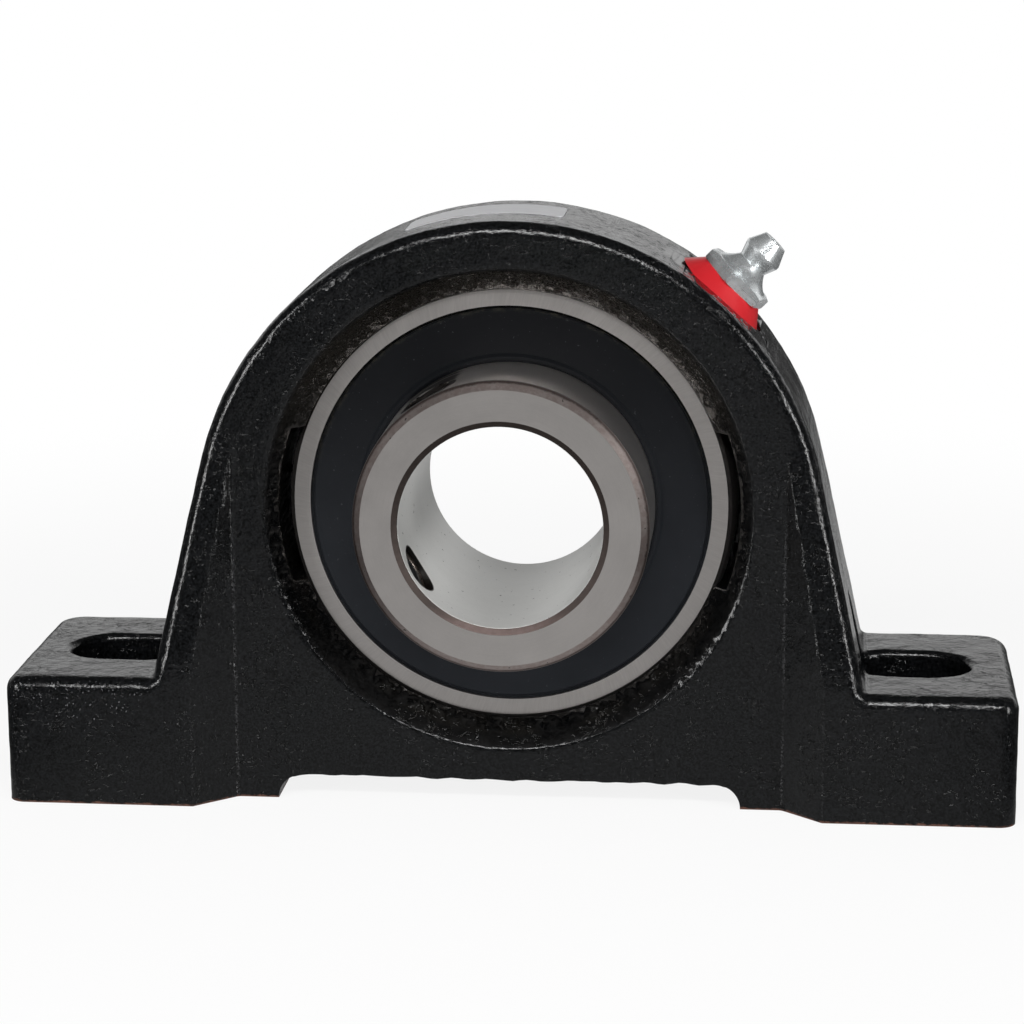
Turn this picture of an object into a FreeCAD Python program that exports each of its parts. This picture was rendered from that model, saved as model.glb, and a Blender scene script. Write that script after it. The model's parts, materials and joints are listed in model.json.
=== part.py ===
"""Two-bolt pillow block with a self-aligning ball bearing insert.

Millimetres. The shaft runs along Y. The origin is the middle of the bolt pattern on the
underside of the feet, X runs along the base, Z is up, and -Y is the set-screw side.
"""
import FreeCAD
import Part
import math
import os

Vec = FreeCAD.Vector

# Shaft and inner ring
bore_diameter = 31.75
inner_ring_wall = 7.125
inner_front_reach = 25.4
inner_rear_reach = 17.5
bore_chamfer = 0.95
bore_chamfer_depth = 0.7
inner_front_chamfer = 1.3
inner_rear_chamfer = 0.9

# Balls and raceways
ball_diameter = 11.112
ball_count = 9
race_clearance = 0.015
race_conformity = 1.03
inner_race_depth = 1.8
outer_race_depth = 2.0

# Outer ring
outer_ring_wall = 3.64
outer_face_chamfer = 0.6
seal_seat_wall = 2.54
snap_groove_depth = 0.45
snap_groove_width = 0.9

# Riveted cage
cage_sheet = 0.8
cage_band = 4.1
pocket_gap = 0.15
rivet_radius = 0.75
rivet_head_radius = 1.35
rivet_head_height = 0.6
rivet_head_flat_share = 0.7
rivet_gap = 0.02

# Seals
seal_cage_gap = 0.3
seal_rubber = 1.0
seal_steel = 0.5
seal_sink = 0.2
seal_lip_gap = 0.06
seal_lip_width = 1.3
seal_lip_rise = 0.5
seal_rim_gap = 0.5
seal_bead_gap = 0.08
seal_bead_step = 0.75

# Set screws
screw_radius = 3.93
screw_thread_gap = 0.04
screw_from_face = 6.35
screw_angles = (121.0, 211.0)
screw_tip_gap = 0.9
screw_head_sink = 1.7
screw_point_chamfer = 1.1
screw_cup_radius = 1.9
screw_cup_depth = 0.9
screw_head_chamfer = 0.45
hex_key_flats = 3.97
hex_key_depth = 2.6
screw_mouth_chamfer = 0.45

# Grease paths through the outer ring
ring_groove_offset = 3.4
ring_groove_width = 5.0
ring_groove_depth = 0.8
ring_hole_radius = 0.8

# Seat in the housing
seat_clearance = 0.03
seat_land_margin = 1.0
lip_step = 2.6
lip_round = 1.2
loading_slot_height = 25.0
loading_slot_relief = 0.6

# Housing body
centre_height = 47.625
waist_width = 28.7
rim_wall = 7.15
crown_drop = 4.3
flank_angle = 12.4
edge_round = 2.2
flank_foot_round = 1.3
post_inset = 6.25
post_slant = 6.4
post_round = 1.5
post_lean_rise = 0.3
post_lean_above_centre = 10.5
post_lean_round = 15.0

# Feet and underside
foot_width = 40.3
foot_height = 20.65
foot_front_round = 2.8
foot_rear_round = 5.0
foot_end_wall = 6.76
slot_width = 14.3
slot_length = 19.8
slot_bite = 2.64
slot_edge_round = 1.15
pad_inner = 6.55
recess_height = 3.9
recess_round_share = 0.96

# Grease fitting and its collar, on a spot face on the crown
fitting_angle = 45.0
spot_face_margin = 0.4
collar_base_radius = 8.1
collar_top_radius = 5.75
collar_height = 2.7
shank_radius = 4.85
shank_gap = 0.05
shank_length = 6.6
shank_chamfer = 0.6
passage_radius = 2.0
thread_hole_spare = 1.0
fitting_flats = 11.11
fitting_hex_height = 2.05
fitting_hex_chamfer = 0.45
fitting_hex_ease_share = 0.3
fitting_hex_turn = 15.0
fitting_neck_base_radius = 4.9
fitting_neck_radius = 2.55
fitting_neck_height = 2.3
fitting_flare_share = 0.36
fitting_head_radius = 3.3
fitting_head_rise = 2.0
fitting_head_land = 0.45
fitting_tip_radius = 2.1
fitting_tip_height = 2.5
fitting_chamber_radius = 1.3
fitting_mouth_radius = 0.95
fitting_mouth_depth = 0.55
fitting_crimp_radius = 0.8
fitting_crimp_height = 0.7
check_ball_radius = 1.19
check_ball_gap = 0.03
spring_wire_radius = 0.19
spring_side_gap = 0.12
spring_turns = 7

# Plain foil label on the crown
label_length = 25.0
label_width = 10.6
label_centre_x = -4.5
label_centre_y = 1.7
label_corner_round = 0.8
label_film = 0.1

# How far a cutting shape runs past the surface it opens, and sizes that count as equal
overcut = 1.0
same = 1e-6
close_by = 0.01

# Sizes that follow from the ones above
bore_radius = bore_diameter / 2
inner_radius = bore_radius + inner_ring_wall
ball_radius = ball_diameter / 2
race_radius = ball_radius * race_conformity
inner_race_bottom = inner_radius - inner_race_depth
pitch_radius = inner_race_bottom + race_clearance + ball_radius
outer_race_bottom = pitch_radius + ball_radius + race_clearance
outer_land_radius = outer_race_bottom - outer_race_depth
sphere_radius = outer_race_bottom + outer_ring_wall
pocket_outer = ball_radius + pocket_gap + cage_sheet
seal_thickness = seal_rubber + seal_steel
seal_back = pocket_outer + seal_cage_gap
ring_half = seal_back + seal_thickness + seal_sink
shoulder_half = ring_half - outer_face_chamfer
shoulder_radius = math.sqrt(sphere_radius ** 2 - shoulder_half ** 2)
seat_wall_radius = shoulder_radius - outer_face_chamfer - seal_seat_wall
snap_groove_radius = seat_wall_radius + snap_groove_depth
seat_radius = sphere_radius + seat_clearance
seat_half = ring_half + seat_land_margin
lip_radius = seat_radius + lip_step
crown_radius = lip_radius + rim_wall + crown_drop
crown_centre_z = centre_height - crown_drop
overall_height = crown_centre_z + crown_radius
waist_half = waist_width / 2
foot_half = foot_width / 2
post_lean_high = centre_height + post_lean_above_centre
screw_y = screw_from_face - inner_front_reach
screw_hole_radius = screw_radius + screw_thread_gap


def polar(radius, degrees):
    """Point at a radius and an angle from +X, as (first, second) coordinates."""
    turn = math.radians(degrees)
    return radius * math.cos(turn), radius * math.sin(turn)


def outline(start, *steps):
    """Face in the XY plane. A step is the next point, or a pair: mid point and end of an arc."""
    edges = []
    here = Vec(*start, 0)
    for step in steps:
        if isinstance(step[0], tuple):
            through = Vec(*step[0], 0)
            end = Vec(*step[1], 0)
            edges.append(Part.Arc(here, through, end).toShape())
        else:
            end = Vec(*step, 0)
            edges.append(Part.makeLine(here, end))
        here = end
    if here.distanceToPoint(Vec(*start, 0)) > same:
        edges.append(Part.makeLine(here, Vec(*start, 0)))
    return Part.Face(Part.Wire(edges))


def corner_arc(before, corner, after, radius):
    """Tangent arc that rounds a corner, as (start, mid, end)."""
    corner_v = Vec(*corner, 0)
    to_before = (Vec(*before, 0) - corner_v).normalize()
    to_after = (Vec(*after, 0) - corner_v).normalize()
    half = to_before.getAngle(to_after) / 2
    reach = radius / math.tan(half)
    bisector = (to_before + to_after).normalize()
    centre = corner_v + bisector * (radius / math.sin(half))
    start = corner_v + to_before * reach
    end = corner_v + to_after * reach
    mid = centre - bisector * radius
    return (start.x, start.y), (mid.x, mid.y), (end.x, end.y)


def rounded_polygon(corners):
    """Face from (point, radius) corners, each rounded by its own radius, or sharp at 0."""
    steps = []
    count = len(corners)
    for index, (point, radius) in enumerate(corners):
        if radius > 0:
            before = corners[index - 1][0]
            after = corners[(index + 1) % count][0]
            start, mid, end = corner_arc(before, point, after, radius)
            steps.append(start)
            steps.append((mid, end))
        else:
            steps.append(point)
    return outline(*steps, steps[0])


def spin_about_shaft(face):
    """Turn a face of (radius, y) points about the shaft axis."""
    solid = face.revolve(Vec(0, 0, 0), Vec(0, 1, 0), 360)
    solid.translate(Vec(0, 0, centre_height))
    return solid


def stand_up(face, length):
    """Extrude a face of (x, z) points along Y, centred on the ball plane."""
    upright = face.copy()
    upright.rotate(Vec(0, 0, 0), Vec(1, 0, 0), 90)
    upright.translate(Vec(0, length / 2, 0))
    return upright.extrude(Vec(0, -length, 0))


def point_along(shape, degrees, distance, y):
    """Place a shape built along +Z so that it runs outwards from the shaft at an angle."""
    placed = shape.copy()
    placed.rotate(Vec(0, 0, 0), Vec(0, 1, 0), 90 - degrees)
    across, up = polar(distance, degrees)
    placed.translate(Vec(across, y, centre_height + up))
    return placed


def turned(points):
    """Solid turned about Z from (radius, height) points."""
    face = outline(*points)
    face.rotate(Vec(0, 0, 0), Vec(1, 0, 0), 90)
    return face.revolve(Vec(0, 0, 0), Vec(0, 0, 1), 360)


def hex_prism(flats, height, base):
    """Hexagonal prism along Z with its flats facing +Y and -Y."""
    corners = [Vec(*polar(flats / math.sqrt(3), 60 * k), base) for k in range(7)]
    return Part.Face(Part.makePolygon(corners)).extrude(Vec(0, 0, height))


def surface_at(degrees):
    """Distance from the shaft axis to the crown along a direction."""
    turn = math.radians(degrees)
    along = crown_drop * math.sin(turn)
    across = crown_drop * math.cos(turn)
    return math.sqrt(crown_radius ** 2 - across ** 2) - along


def flank_points():
    """Where each flank leaves the crown arc, and where it would meet the foot's top."""
    leave_x, leave_up = polar(crown_radius, flank_angle)
    leave_z = crown_centre_z + leave_up
    foot_x = leave_x + (leave_z - foot_height) * math.tan(math.radians(flank_angle))
    return (leave_x, leave_z), foot_x


(flank_top_x, flank_top_z), flank_foot_x = flank_points()
slot_inner_x = flank_foot_x - slot_bite
slot_centre_x = slot_inner_x + slot_length / 2
half_length = slot_inner_x + slot_length + foot_end_wall
foot_inner_x = flank_foot_x - post_inset
waist_outer_x = foot_inner_x - post_slant
recess_half = waist_outer_x - pad_inner
spot_radius = collar_base_radius + spot_face_margin
spot_sink = crown_radius - math.sqrt(crown_radius ** 2 - spot_radius ** 2)
fitting_seat = surface_at(fitting_angle) - spot_sink


def front_outline():
    """Bell and feet seen from the front, as a face of (x, z) points."""
    right = corner_arc((half_length, foot_height), (flank_foot_x, foot_height),
                       (flank_top_x, flank_top_z), flank_foot_round)
    left = [(-x, z) for x, z in right]
    return outline(
        (-half_length, 0),
        (half_length, 0),
        (half_length, foot_height),
        right[0],
        (right[1], right[2]),
        (flank_top_x, flank_top_z),
        ((0, overall_height), (-flank_top_x, flank_top_z)),
        left[2],
        (left[1], left[0]),
        (-half_length, foot_height))


def plan_outline():
    """Feet, posts and waist seen from above, as a face of (x, y) points."""
    rear = [
        ((half_length, foot_half), foot_rear_round),
        ((foot_inner_x, foot_half), 0),
        ((waist_outer_x, waist_half), post_round)]
    front = [
        ((waist_outer_x, -waist_half), post_round),
        ((foot_inner_x, -foot_half), 0),
        ((half_length, -foot_half), foot_front_round)]
    left = [((-x, y), r) for (x, y), r in reversed(front + rear)]
    return rounded_polygon(rear + left + front)


def lean_corner_z():
    """Corner height of the posts' lean whose rounding starts just above the feet."""
    start = foot_height + post_lean_rise
    run = post_lean_high - start
    inset = foot_half - waist_half
    spare = 2 * post_lean_round - inset
    half_tan = (run - math.sqrt(run ** 2 - spare * inset)) / spare
    return start + post_lean_round * half_tan


def side_outline():
    """Feet and waist seen from the end, with the posts leaning back between them."""
    low = lean_corner_z()
    top = overall_height + overcut
    return rounded_polygon([
        ((-foot_half, 0), 0),
        ((foot_half, 0), 0),
        ((foot_half, low), post_lean_round),
        ((waist_half, post_lean_high), post_lean_round),
        ((waist_half, top), 0),
        ((-waist_half, top), 0),
        ((-waist_half, post_lean_high), post_lean_round),
        ((-foot_half, low), post_lean_round)])


def lay_along_base(face, length):
    """Extrude a face of (y, z) points along X, centred."""
    upright = face.copy()
    upright.rotate(Vec(0, 0, 0), Vec(1, 1, 1), 120)
    upright.translate(Vec(-length / 2, 0, 0))
    return upright.extrude(Vec(length, 0, 0))


def rim_edges(body):
    """Edges that run round the bell and the tops of the feet, front, back and ends."""
    rim = front_outline().OuterWire
    chosen = []
    for edge in body.Edges:
        box = edge.BoundBox
        flat_along_y = box.XLength < same and box.ZLength < same
        at_foot_end = abs(abs(box.XMin) - half_length) < same
        upright = box.XLength < same and box.YLength < same
        if box.ZMin < same or upright:
            continue
        if flat_along_y and not at_foot_end:
            continue
        middle = edge.valueAt((edge.FirstParameter + edge.LastParameter) / 2)
        if rim.distToShape(Part.Vertex(middle.x, middle.z, 0))[0] < close_by:
            chosen.append(edge)
    return chosen


def seat_cut():
    """Spherical seat with a conical mouth at each face, to cut from the bell."""
    mouth_radius = math.sqrt(seat_radius ** 2 - seat_half ** 2)
    beyond = waist_half + overcut
    return spin_about_shaft(outline(
        (0, -beyond),
        (lip_radius, -beyond),
        (lip_radius, -waist_half),
        (mouth_radius, -seat_half),
        ((seat_radius, 0), (mouth_radius, seat_half)),
        (lip_radius, waist_half),
        (lip_radius, beyond),
        (0, beyond)))


def loading_slots():
    """Two slots at the front of the seat, where the insert goes in edgewise and turns flat."""
    depth = waist_half + overcut
    drum = Part.makeCylinder(seat_radius + loading_slot_relief, depth,
                             Vec(0, 0, centre_height), Vec(0, -1, 0))
    reach = seat_radius + loading_slot_relief + overcut
    bar = Part.makeBox(2 * reach, depth, loading_slot_height,
                       Vec(-reach, -depth, centre_height - loading_slot_height / 2))
    return drum.common(bar)


def bolt_slot(side):
    """Slotted bolt hole through one foot, with its relief up the flank."""
    half = slot_width / 2
    run = slot_length / 2 - half
    face = outline(
        (-run, -half),
        (run, -half),
        ((run + half, 0), (run, half)),
        (-run, half),
        ((-run - half, 0), (-run, -half)))
    face.translate(Vec(side * slot_centre_x, 0, -overcut))
    return face.extrude(Vec(0, 0, centre_height))


def slot_rims(body):
    """Edges round the tops of both bolt slots, on the feet and up the flanks."""
    run = (slot_length - slot_width) / 2
    rims = []
    for edge in body.Edges:
        if edge.BoundBox.ZMin < foot_height - edge_round:
            continue
        off_wall = 0
        for point in edge.discretize(5):
            along = max(0, abs(abs(point.x) - slot_centre_x) - run)
            off_wall = max(off_wall, abs(math.hypot(along, point.y) - slot_width / 2))
        if off_wall < close_by:
            rims.append(edge)
    return rims


def underside_recess():
    """Shallow recess between the two feet, with quarter-round ends."""
    ease = recess_height * recess_round_share
    face = rounded_polygon([
        ((-recess_half, -overcut), 0),
        ((recess_half, -overcut), 0),
        ((recess_half, recess_height), ease),
        ((-recess_half, recess_height), ease)])
    return stand_up(face, foot_width + 2 * overcut)


def fitting_holes():
    """Spot face, threaded hole and grease passage for the fitting."""
    spot = Part.makeCylinder(spot_radius, spot_sink + overcut)
    thread = Part.makeCylinder(shank_radius + shank_gap, shank_length + thread_hole_spare,
                               Vec(0, 0, -shank_length - thread_hole_spare))
    reach = fitting_seat - seat_radius + overcut
    passage = Part.makeCylinder(passage_radius, reach, Vec(0, 0, -reach))
    tool = spot.fuse(thread).fuse(passage)
    return point_along(tool, fitting_angle, fitting_seat, 0)


def housing():
    """Cast body: bell, posts, feet, seat, slots and the fitting's hole."""
    bell = stand_up(front_outline(), foot_width + 2 * overcut)
    plan = plan_outline().extrude(Vec(0, 0, overall_height + overcut))
    side = lay_along_base(side_outline(), 2 * (half_length + overcut))
    body = bell.common(plan).common(side)
    body = body.makeFillet(edge_round, rim_edges(body))
    body = body.cut(seat_cut())
    lips = [edge for edge in body.Edges
            if abs(edge.BoundBox.XLength - 2 * lip_radius) < close_by
            and edge.BoundBox.YLength < same]
    body = body.makeFillet(lip_round, lips)
    body = body.cut(loading_slots())
    body = body.cut(underside_recess())
    body = body.cut([bolt_slot(-1), bolt_slot(1)])
    body = body.makeFillet(slot_edge_round, slot_rims(body))
    return body.cut(fitting_holes())


def groove_half_width(depth):
    """Half of a raceway's width where the ring is the given depth above its bottom."""
    return math.sqrt(race_radius ** 2 - (race_radius - depth) ** 2)


def outer_ring():
    """Outer ring: ball raceway inside, spherical outside, with a seal seat at each face."""
    race_half = groove_half_width(outer_race_depth)
    groove_front = seal_back + snap_groove_width
    ring = spin_about_shaft(outline(
        (outer_land_radius, -race_half),
        (outer_land_radius, -seal_back),
        (snap_groove_radius, -seal_back),
        (snap_groove_radius, -groove_front),
        (seat_wall_radius, -groove_front),
        (seat_wall_radius, -ring_half),
        (shoulder_radius - outer_face_chamfer, -ring_half),
        (shoulder_radius, -shoulder_half),
        ((sphere_radius, 0), (shoulder_radius, shoulder_half)),
        (shoulder_radius - outer_face_chamfer, ring_half),
        (seat_wall_radius, ring_half),
        (seat_wall_radius, groove_front),
        (snap_groove_radius, groove_front),
        (snap_groove_radius, seal_back),
        (outer_land_radius, seal_back),
        (outer_land_radius, race_half),
        ((outer_race_bottom, 0), (outer_land_radius, -race_half))))
    low = ring_groove_offset - ring_groove_width / 2
    high = ring_groove_offset + ring_groove_width / 2
    floor = math.sqrt(sphere_radius ** 2 - high ** 2) - ring_groove_depth
    ring = ring.cut(spin_about_shaft(outline(
        (floor, low),
        (sphere_radius + overcut, low),
        (sphere_radius + overcut, high),
        (floor, high))))
    hole_y = (race_half + seal_back) / 2
    drill = Part.makeCylinder(ring_hole_radius, sphere_radius)
    return ring.cut(point_along(drill, 90, 0, hole_y))


def seal(side):
    """Rubber disc and its steel core, snapped in one face of the outer ring."""
    lip_inner = inner_radius + seal_lip_gap
    lip_outer = lip_inner + seal_lip_width
    face = ring_half - seal_sink
    glue = seal_back + seal_steel
    rim = seat_wall_radius - seal_rim_gap
    bead = snap_groove_radius - seal_bead_gap
    step = face - seal_bead_step
    core_outer = outer_land_radius + (bead - outer_land_radius) / 2

    def place(points):
        return spin_about_shaft(outline(*[(r, side * y) for r, y in points]))

    rubber = place([
        (lip_inner, seal_back),
        (lip_inner, face + seal_lip_rise / 2),
        (lip_inner + seal_lip_width / 3, face + seal_lip_rise),
        (lip_outer - seal_lip_width / 3, face + seal_lip_rise),
        (lip_outer, face),
        (rim - seal_rim_gap / 2, face),
        (rim, face - seal_rim_gap / 2),
        (rim, step),
        (bead, step),
        (bead, seal_back),
        (core_outer, seal_back),
        (core_outer, glue),
        (lip_outer, glue),
        (lip_outer, seal_back)])
    core = place([
        (lip_outer, seal_back),
        (core_outer, seal_back),
        (core_outer, glue),
        (lip_outer, glue)])
    return rubber, core


def inner_ring():
    """Inner ring with its raceway, long nose and two threaded set-screw holes."""
    race_half = groove_half_width(inner_race_depth)
    front = -inner_front_reach
    rear = inner_rear_reach
    ring = spin_about_shaft(outline(
        (bore_radius, front + bore_chamfer_depth),
        (bore_radius + bore_chamfer, front),
        (inner_radius - inner_front_chamfer, front),
        (inner_radius, front + inner_front_chamfer),
        (inner_radius, -race_half),
        ((inner_race_bottom, 0), (inner_radius, race_half)),
        (inner_radius, rear - inner_rear_chamfer),
        (inner_radius - inner_rear_chamfer, rear),
        (bore_radius + bore_chamfer, rear),
        (bore_radius, rear - bore_chamfer_depth)))
    for degrees in screw_angles:
        drill = Part.makeCylinder(screw_hole_radius, inner_radius + overcut)
        mouth = Part.makeCone(screw_hole_radius, screw_hole_radius + 2 * screw_mouth_chamfer,
                              2 * screw_mouth_chamfer,
                              Vec(0, 0, inner_radius - screw_mouth_chamfer))
        ring = ring.cut(point_along(drill.fuse(mouth), degrees, 0, screw_y))
    return ring


def set_screw(degrees):
    """Cup-point set screw with a hexagon socket, backed off from the bore."""
    tip = bore_radius + screw_tip_gap
    length = inner_ring_wall - screw_tip_gap - screw_head_sink
    body = turned([
        (0, screw_cup_depth),
        (screw_cup_radius, 0),
        (screw_radius - screw_point_chamfer, 0),
        (screw_radius, screw_point_chamfer),
        (screw_radius, length - screw_head_chamfer),
        (screw_radius - screw_head_chamfer, length),
        (0, length)])
    socket = hex_prism(hex_key_flats, hex_key_depth + overcut, length - hex_key_depth)
    body = body.cut(socket)
    return point_along(body, degrees, tip, screw_y)


def ball_centres():
    """Angle and centre of each ball, evenly spaced on the pitch circle."""
    for index in range(ball_count):
        degrees = 90 + 360 * index / ball_count
        across, up = polar(pitch_radius, degrees)
        yield degrees, Vec(across, 0, centre_height + up)


def cage_half(side):
    """Pressed half of the ribbon cage: flats between the balls and half a pocket round each."""
    band = Part.makeCylinder(pitch_radius + cage_band / 2, 2 * pocket_outer,
                             Vec(0, -pocket_outer, centre_height), Vec(0, 1, 0))
    core = Part.makeCylinder(pitch_radius - cage_band / 2, 2 * (pocket_outer + overcut),
                             Vec(0, -pocket_outer - overcut, centre_height), Vec(0, 1, 0))
    band = band.cut(core)
    reach = pitch_radius + cage_band
    half_space = Part.makeBox(2 * reach, 2 * pocket_outer, 2 * reach,
                              Vec(-reach, min(0, side * 2 * pocket_outer), centre_height - reach))
    flat = Part.makeBox(2 * reach, cage_sheet, 2 * reach,
                        Vec(-reach, min(0, side * cage_sheet), centre_height - reach))
    shells = [Part.makeSphere(pocket_outer, centre) for _, centre in ball_centres()]
    pockets = [Part.makeSphere(ball_radius + pocket_gap, centre) for _, centre in ball_centres()]
    half = flat.multiFuse(shells).common(band).common(half_space).cut(pockets)
    step = 180 / ball_count
    holes = []
    for degrees, _ in ball_centres():
        across, up = polar(pitch_radius, degrees + step)
        holes.append(Part.makeCylinder(rivet_radius + rivet_gap, 4 * cage_sheet,
                                       Vec(across, -2 * cage_sheet, centre_height + up),
                                       Vec(0, 1, 0)))
    return half.cut(holes)


def cage_rivets():
    """Rivets through the flats of both cage halves."""
    rivets = []
    for degrees, _ in ball_centres():
        across, up = polar(pitch_radius, degrees + 180 / ball_count)
        shaft = turned([
            (0, -cage_sheet - rivet_head_height),
            (rivet_head_radius * rivet_head_flat_share, -cage_sheet - rivet_head_height),
            (rivet_head_radius, -cage_sheet),
            (rivet_radius, -cage_sheet),
            (rivet_radius, cage_sheet),
            (rivet_head_radius, cage_sheet),
            (rivet_head_radius * rivet_head_flat_share, cage_sheet + rivet_head_height),
            (0, cage_sheet + rivet_head_height)])
        shaft.rotate(Vec(0, 0, 0), Vec(1, 0, 0), 90)
        shaft.translate(Vec(across, 0, centre_height + up))
        rivets.append(shaft)
    return Part.makeCompound(rivets)


def fitting_heights():
    """Heights up the fitting from the underside of its hexagon."""
    neck = fitting_hex_height + fitting_neck_height
    head = neck + fitting_head_rise
    land = head + fitting_head_land
    return neck, head, land, land + fitting_tip_height


def fitting_body():
    """Grease fitting turned from hexagon bar, hollow for its check ball and spring."""
    neck, head, land, tip = fitting_heights()
    bottom = -collar_height - shank_length
    flare = fitting_neck_base_radius - fitting_neck_radius
    blend_radius = fitting_neck_radius + flare * fitting_flare_share
    blend_height = fitting_hex_height + fitting_neck_height / 2
    stem = turned([
        (0, bottom),
        (shank_radius - shank_chamfer, bottom),
        (shank_radius, bottom + shank_chamfer),
        (shank_radius, fitting_hex_height),
        (fitting_neck_base_radius, fitting_hex_height),
        ((blend_radius, blend_height), (fitting_neck_radius, neck)),
        (fitting_head_radius, head),
        (fitting_head_radius, land),
        (fitting_tip_radius, tip),
        (0, tip)])
    hexagon = hex_prism(fitting_flats, fitting_hex_height, 0)
    corner = fitting_flats / math.sqrt(3)
    top_ease = corner - fitting_flats / 2
    foot_ease = top_ease * fitting_hex_ease_share
    hexagon = hexagon.common(turned([
        (0, 0),
        (corner - foot_ease, 0),
        (corner, foot_ease),
        (corner, fitting_hex_height - fitting_hex_chamfer),
        (corner - top_ease, fitting_hex_height),
        (0, fitting_hex_height)]))
    hexagon.rotate(Vec(0, 0, 0), Vec(0, 0, 1), fitting_hex_turn)
    chamber = turned([
        (0, bottom - overcut),
        (fitting_crimp_radius, bottom - overcut),
        (fitting_crimp_radius, bottom + fitting_crimp_height),
        (fitting_chamber_radius, bottom + fitting_crimp_height),
        (fitting_chamber_radius, tip - fitting_mouth_depth),
        (fitting_mouth_radius, tip - fitting_mouth_depth),
        (fitting_mouth_radius, tip + overcut),
        (0, tip + overcut)])
    return stem.fuse(hexagon).removeSplitter().cut(chamber)


def check_ball_height():
    """Height of the check ball's centre, just under the mouth of the fitting."""
    tip = fitting_heights()[3]
    drop = math.sqrt(check_ball_radius ** 2 - fitting_mouth_radius ** 2)
    return tip - fitting_mouth_depth - drop - check_ball_gap


def fitting_spring():
    """Coil spring between the crimped end of the fitting and its check ball."""
    low = -collar_height - shank_length + fitting_crimp_height + spring_wire_radius
    coil_radius = fitting_chamber_radius - spring_wire_radius - spring_side_gap
    rest = math.sqrt((check_ball_radius + spring_wire_radius) ** 2 - coil_radius ** 2)
    high = check_ball_height() - rest - check_ball_gap
    pitch = (high - low) / spring_turns
    path = Part.makeHelix(pitch, high - low, coil_radius)
    section = Part.Wire(Part.makeCircle(spring_wire_radius, Vec(coil_radius, 0, 0), Vec(0, 1, 0)))
    coil = Part.Wire(path).makePipeShell([section], True, True)
    coil.translate(Vec(0, 0, low))
    return coil


def fitting_collar():
    """Conical collar between the spot face and the fitting's hexagon."""
    cone = Part.makeCone(collar_base_radius, collar_top_radius, collar_height)
    return cone.cut(Part.makeCylinder(shank_radius + shank_gap, collar_height))


def crown_label():
    """Thin plain label that follows the crown's curve."""
    low = label_centre_y - label_width / 2
    base = Vec(0, low, crown_centre_z)
    film = Part.makeCylinder(crown_radius + label_film, label_width, base, Vec(0, 1, 0))
    film = film.cut(Part.makeCylinder(crown_radius, label_width, base, Vec(0, 1, 0)))
    half = label_length / 2
    corners = [((label_centre_x + x, label_centre_y + y), label_corner_round)
               for x, y in ((-half, -label_width / 2), (half, -label_width / 2),
                            (half, label_width / 2), (-half, label_width / 2))]
    plan = rounded_polygon(corners)
    plan.translate(Vec(0, 0, crown_centre_z))
    return film.common(plan.extrude(Vec(0, 0, crown_radius + overcut)))


def build():
    """Every node's name and shape."""
    nodes = {
        "housing": housing(),
        "outer_ring": outer_ring(),
        "inner_ring": inner_ring(),
        "cage_front_half": cage_half(-1),
        "cage_rear_half": cage_half(1),
        "cage_rivets": cage_rivets(),
    }
    for name, side in (("front", -1), ("rear", 1)):
        rubber, core = seal(side)
        nodes[name + "_seal_rubber"] = rubber
        nodes[name + "_seal_core"] = core
    for number, degrees in enumerate(screw_angles, 1):
        nodes["set_screw_%d" % number] = set_screw(degrees)
    for number, (_, centre) in enumerate(ball_centres(), 1):
        nodes["ball_%d" % number] = Part.makeSphere(ball_radius, centre)
    hex_seat = fitting_seat + collar_height
    check_ball = Part.makeSphere(check_ball_radius, Vec(0, 0, check_ball_height()))
    nodes["grease_fitting_body"] = point_along(fitting_body(), fitting_angle, hex_seat, 0)
    nodes["grease_fitting_ball"] = point_along(check_ball, fitting_angle, hex_seat, 0)
    nodes["grease_fitting_spring"] = point_along(fitting_spring(), fitting_angle, hex_seat, 0)
    nodes["fitting_collar"] = point_along(fitting_collar(), fitting_angle, fitting_seat, 0)
    nodes["crown_label"] = crown_label()
    return nodes


os.makedirs("parts", exist_ok=True)
for node, shape in build().items():
    shape.exportStep("parts/%s.step" % node)
    print("%-22s solids %d  valid %s  volume %.1f mm3"
          % (node, len(shape.Solids), shape.isValid(), shape.Volume))

print("overall length %.2f, height %.2f, bolt spacing %.2f, slot %.2f x %.2f"
      % (2 * half_length, overall_height, 2 * slot_centre_x, slot_length, slot_width))
print("ring width %.3f, sphere radius %.3f, pitch radius %.3f, inner race %.3f, outer race %.3f"
      % (2 * ring_half, sphere_radius, pitch_radius, inner_race_bottom, outer_race_bottom))
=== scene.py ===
"""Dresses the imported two-bolt pillow block bearing: finishes, cast skin, threads, label and stage.

Metres, in the frame of the CAD model: the shaft runs along Y, -Y faces the viewer, Z is up.
"""

import json
import math

import bpy
from bpy.props import FloatProperty, FloatVectorProperty, IntProperty, PointerProperty
from mathutils import Matrix, Vector, noise


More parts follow.
